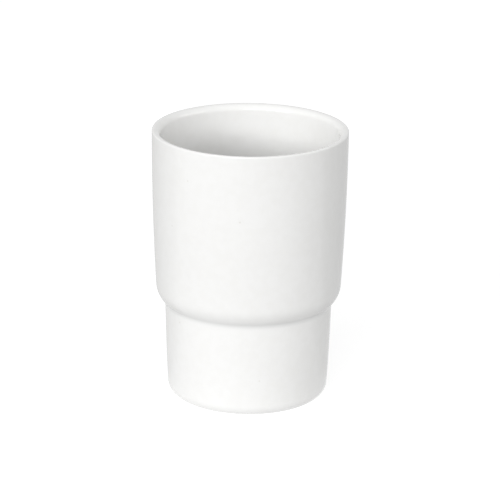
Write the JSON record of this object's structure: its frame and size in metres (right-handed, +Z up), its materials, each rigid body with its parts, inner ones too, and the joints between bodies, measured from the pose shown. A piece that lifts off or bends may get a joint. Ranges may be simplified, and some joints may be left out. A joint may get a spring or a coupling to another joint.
{
  "type": "tumbler",
  "caption": "Round white porcelain tumbler whose wide upper wall steps in at a rounded shoulder to a narrower lower wall, so that it can hang in a holder's ring or stand on its foot.",
  "frame": {"origin": "middle of the foot ring's flat, on the surface that the tumbler stands on", "axes": "+Z up along the tumbler's axis, from foot to rim; +X and +Y level, free because the tumbler is round"},
  "size_m": [0.0712, 0.0712, 0.1],
  "materials": {
    "white_glaze": "gloss"
  },
  "bodies": {
    "root": {"tumbler": "white_glaze"}
  },
  "joints": []
}
